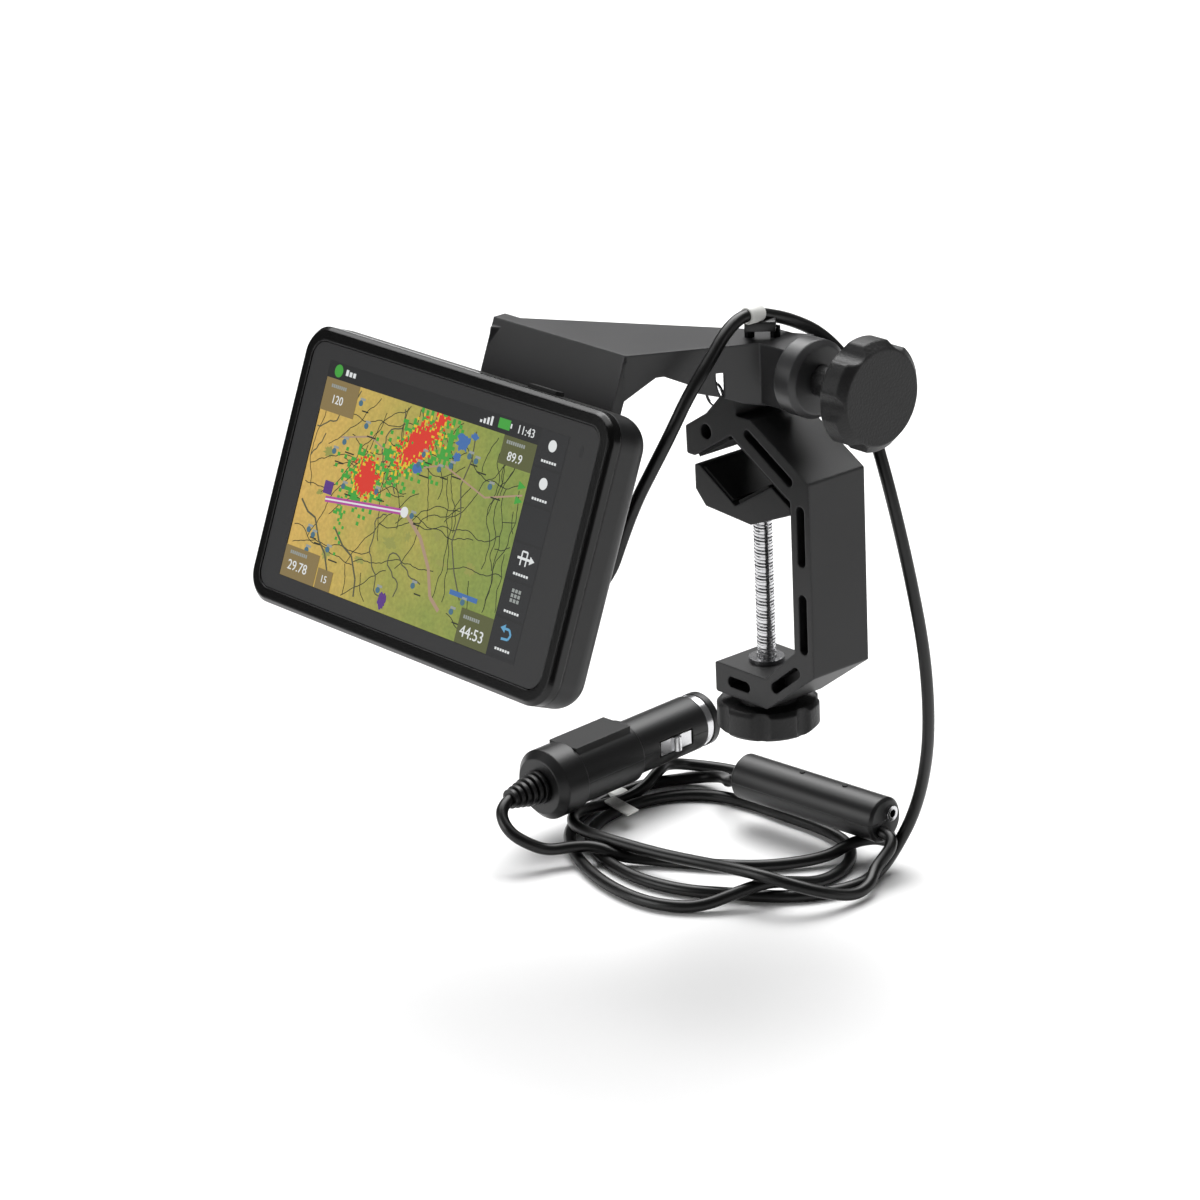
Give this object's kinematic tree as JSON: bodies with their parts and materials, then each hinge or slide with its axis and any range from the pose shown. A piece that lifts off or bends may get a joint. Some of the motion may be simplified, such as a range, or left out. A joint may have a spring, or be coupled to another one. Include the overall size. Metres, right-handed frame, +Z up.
{
  "type": "portable aviation gps",
  "caption": "Portable aviation GPS display on a yoke clamp: tilting arm, screw clamp with V jaw, quick-release cradle, power cord with in-line module and lighter plug",
  "frame": {"origin": "axis of the thinnest yoke shaft that the clamp grips, at mid width of the clamp", "axes": "+Z up, +Y along the gripped shaft away from the pilot, +X to the right as the pilot sees the screen; the screen faces -Y and leans back 22 degrees"},
  "size_m": [0.1629, 0.1661, 0.1885],
  "materials": {
    "clamp_metal": "matt black powder coat",
    "arm_metal": "satin black powder coat",
    "steel": "bright zinc-plated steel",
    "black_steel": "black oxide",
    "rubber_black": "matt black rubber",
    "knob_plastic": "black textured nylon",
    "bezel_plastic": "gloss black",
    "housing_plastic": "satin dark grey",
    "glass": "anti-glare cover glass",
    "display": "lit colour display",
    "board_green": "solder-masked circuit board",
    "cell_wrap": "battery wrap",
    "ceramic": "ceramic",
    "gold_contact": "gold-plated",
    "cord_pvc": "satin black PVC",
    "plug_plastic": "satin black moulding",
    "tie_white": "white nylon",
    "fuse_glass": "clear glass"
  },
  "bodies": {
    "root": {"audio_jack": "steel", "clamp_frame": "clamp_metal", "clamp_pads": "rubber_black", "coil_tie": "tie_white", "cord_coil": "cord_pvc", "cord_drop": "cord_pvc", "cord_module_in": "cord_pvc", "cord_module_out": "cord_pvc", "cord_plug_lead": "cord_pvc", "leg_nut": "steel", "module_board": "board_green", "module_shell_lower": "plug_plastic", "module_shell_upper": "plug_plastic", "pivot_nut": "black_steel", "plug_boot": "rubber_black", "plug_collar": "plug_plastic", "plug_fuse": "fuse_glass", "plug_metal_ring": "steel", "plug_nose_cap": "plug_plastic", "plug_shell_lower": "plug_plastic", "plug_shell_upper": "plug_plastic", "plug_side_contacts": "steel", "plug_spring": "steel", "tether_ring": "steel"},
    "jaw": {"v_block": "clamp_metal", "jaw_pads": "rubber_black"},
    "screw": {"clamp_screw": "steel", "screw_clip": "steel", "clamp_knob": "knob_plastic"},
    "pivot": {"pivot_knob": "knob_plastic", "pivot_stud": "steel"},
    "arm": {"arm_bracket": "arm_metal", "arm_screws": "black_steel", "cord_clip": "black_steel", "front_bezel": "bezel_plastic", "touch_glass": "glass", "light_sensor": "bezel_plastic", "lcd_panel": "display", "rear_housing": "housing_plastic", "housing_screws": "black_steel", "main_board": "board_green", "battery_pack": "cell_wrap", "gps_antenna": "ceramic", "speaker": "black_steel", "cradle": "housing_plastic", "cradle_contacts": "gold_contact", "cradle_relief": "rubber_black", "cord_to_clip": "cord_pvc"},
    "power_button": {"power_button": "rubber_black"},
    "cradle_latch": {"cradle_latch": "housing_plastic"},
    "port_cover": {"port_cover": "rubber_black"},
    "plug_pin": {"plug_centre_pin": "steel"}
  },
  "joints": [
    {"name": "arm_pivot", "type": "hinge", "parent": "root", "child": "arm", "pos_m": [0, 0, 0.0295], "axis": [1, 0, 0], "range_deg": [-45, 25], "deforming": ["cord_drop"]},
    {"name": "pivot_turn", "type": "hinge", "parent": "root", "child": "pivot", "pos_m": [0.045, 0, 0.0295], "axis": [1, 0, 0], "range_deg": [0, 720]},
    {"name": "jaw_slide", "type": "slide", "parent": "root", "child": "jaw", "axis": [0, 0, -1], "range_m": [0, 0.04]},
    {"name": "screw_turn", "type": "hinge", "parent": "jaw", "child": "screw", "pos_m": [0, 0, -0.045], "axis": [0, 0, 1], "range_deg": [0, 14400]},
    {"name": "power_press", "type": "slide", "parent": "arm", "child": "power_button", "axis": [0, -0.3746, -0.9272], "range_m": [0, 0.0006], "stiffness_N_per_m": 1500},
    {"name": "latch_press", "type": "slide", "parent": "arm", "child": "cradle_latch", "axis": [0, -0.3746, -0.9272], "range_m": [0, 0.002], "stiffness_N_per_m": 900},
    {"name": "port_flap", "type": "hinge", "parent": "arm", "child": "port_cover", "pos_m": [-0.0997, -0.07935, -0.01428], "axis": [-1, 0, 0], "range_deg": [0, 100]},
    {"name": "pin_press", "type": "slide", "parent": "root", "child": "plug_pin", "axis": [0.0682, -0.9977, 0], "range_m": [0, 0.003], "stiffness_N_per_m": 800}
  ],
  "couplings": [
    {"joint": "screw_turn", "follows": "jaw_slide", "rad_per_m": 6283.2}
  ]
}
